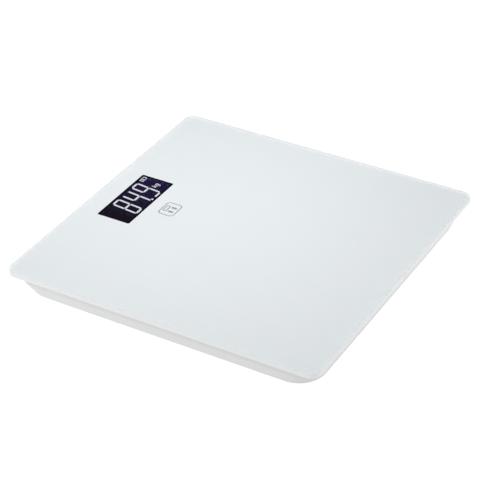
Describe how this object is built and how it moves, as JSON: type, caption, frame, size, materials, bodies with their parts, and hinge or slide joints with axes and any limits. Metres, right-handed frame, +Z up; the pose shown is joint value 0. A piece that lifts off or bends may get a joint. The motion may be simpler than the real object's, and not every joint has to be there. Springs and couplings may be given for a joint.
{
  "type": "digital bathroom scale",
  "caption": "Square glass-topped digital bathroom scale with a dark display window near one edge, a white base tray, sprung weighing feet, a hinged battery door and a unit button.",
  "frame": {"origin": "on the floor, under the centre of the square platform", "axes": "+Z up, +Y towards the edge with the display, +X to the right of a person who reads the display"},
  "size_m": [0.3, 0.3, 0.027],
  "materials": {
    "glass": "polished toughened glass, clear, with ground edges",
    "film": "white back print seen through the glass",
    "abs_white": "fine spark texture, white ABS",
    "abs_grey": "plain moulded grey plastic",
    "abs_black": "plain moulded black plastic",
    "pad_rubber": "soft anti-slip rubber with a fine pattern",
    "screw_steel": "zinc-plated steel",
    "cell_steel": "nickel-plated sheet steel",
    "contact_nickel": "nickel-plated spring steel",
    "pcb": "green solder mask",
    "lcd": "dark negative display behind a polariser",
    "guide": "clear acrylic with a diffusing face",
    "foam_tape": "double-sided foam",
    "silicone": "silicone strip with conductive layers",
    "battery_wrap": "plain printed sleeve",
    "jacket_grey": "PVC cable jacket",
    "jacket_red": "PVC wire jacket",
    "jacket_black": "PVC wire jacket"
  },
  "bodies": {
    "platform": {"glass_platform": "glass", "decor_film": "film", "base_tray": "abs_white", "main_pcb": "pcb", "controller_chip": "abs_black", "capacitor": "abs_black", "lcd_frame": "abs_black", "lcd_panel": "lcd", "light_guide": "guide", "zebra_strip": "silicone", "backlight_led": "guide", "switch_body": "abs_black", "battery_1": "battery_wrap", "battery_2": "battery_wrap", "contact_bridge": "contact_nickel", "contact_negative": "contact_nickel", "contact_positive": "contact_nickel", "battery_lead_negative": "jacket_black", "battery_lead_positive": "jacket_red", "adhesive_pad_front_left": "foam_tape", "cell_seat_front_left": "abs_grey", "load_cell_front_left": "cell_steel", "tray_screw_front_left": "screw_steel", "pcb_screw_front_left": "screw_steel", "cell_cable_front_left": "jacket_grey", "adhesive_pad_front_right": "foam_tape", "cell_seat_front_right": "abs_grey", "load_cell_front_right": "cell_steel", "tray_screw_front_right": "screw_steel", "pcb_screw_front_right": "screw_steel", "cell_cable_front_right": "jacket_grey", "adhesive_pad_rear_left": "foam_tape", "cell_seat_rear_left": "abs_grey", "load_cell_rear_left": "cell_steel", "tray_screw_rear_left": "screw_steel", "pcb_screw_rear_left": "screw_steel", "cell_cable_rear_left": "jacket_grey", "adhesive_pad_rear_right": "foam_tape", "cell_seat_rear_right": "abs_grey", "load_cell_rear_right": "cell_steel", "tray_screw_rear_right": "screw_steel", "pcb_screw_rear_right": "screw_steel", "cell_cable_rear_right": "jacket_grey"},
    "foot_front_left": {"foot_front_left": "abs_white", "foot_pad_front_left": "pad_rubber", "foot_screw_front_left": "screw_steel"},
    "foot_front_right": {"foot_front_right": "abs_white", "foot_pad_front_right": "pad_rubber", "foot_screw_front_right": "screw_steel"},
    "foot_rear_left": {"foot_rear_left": "abs_white", "foot_pad_rear_left": "pad_rubber", "foot_screw_rear_left": "screw_steel"},
    "foot_rear_right": {"foot_rear_right": "abs_white", "foot_pad_rear_right": "pad_rubber", "foot_screw_rear_right": "screw_steel"},
    "battery_door": {"battery_door": "abs_white"},
    "unit_button": {"unit_button": "abs_grey", "switch_plunger": "abs_black"}
  },
  "joints": [
    {"name": "foot_front_left_press", "type": "slide", "parent": "platform", "child": "foot_front_left", "axis": [0, 0, 1], "range_m": [0, 0.0004], "stiffness_N_per_m": 2000, "deforming": ["load_cell_front_left"]},
    {"name": "foot_front_right_press", "type": "slide", "parent": "platform", "child": "foot_front_right", "axis": [0, 0, 1], "range_m": [0, 0.0004], "stiffness_N_per_m": 2000, "deforming": ["load_cell_front_right"]},
    {"name": "foot_rear_left_press", "type": "slide", "parent": "platform", "child": "foot_rear_left", "axis": [0, 0, 1], "range_m": [0, 0.0004], "stiffness_N_per_m": 2000, "deforming": ["load_cell_rear_left"]},
    {"name": "foot_rear_right_press", "type": "slide", "parent": "platform", "child": "foot_rear_right", "axis": [0, 0, 1], "range_m": [0, 0.0004], "stiffness_N_per_m": 2000, "deforming": ["load_cell_rear_right"]},
    {"name": "battery_door_hinge", "type": "hinge", "parent": "platform", "child": "battery_door", "pos_m": [-0.0302, 0.03, 0.0052], "axis": [0, 1, 0], "range_deg": [0, 80]},
    {"name": "unit_button_press", "type": "slide", "parent": "platform", "child": "unit_button", "axis": [0, 0, 1], "range_m": [0, 0.0008], "stiffness_N_per_m": 2500}
  ]
}
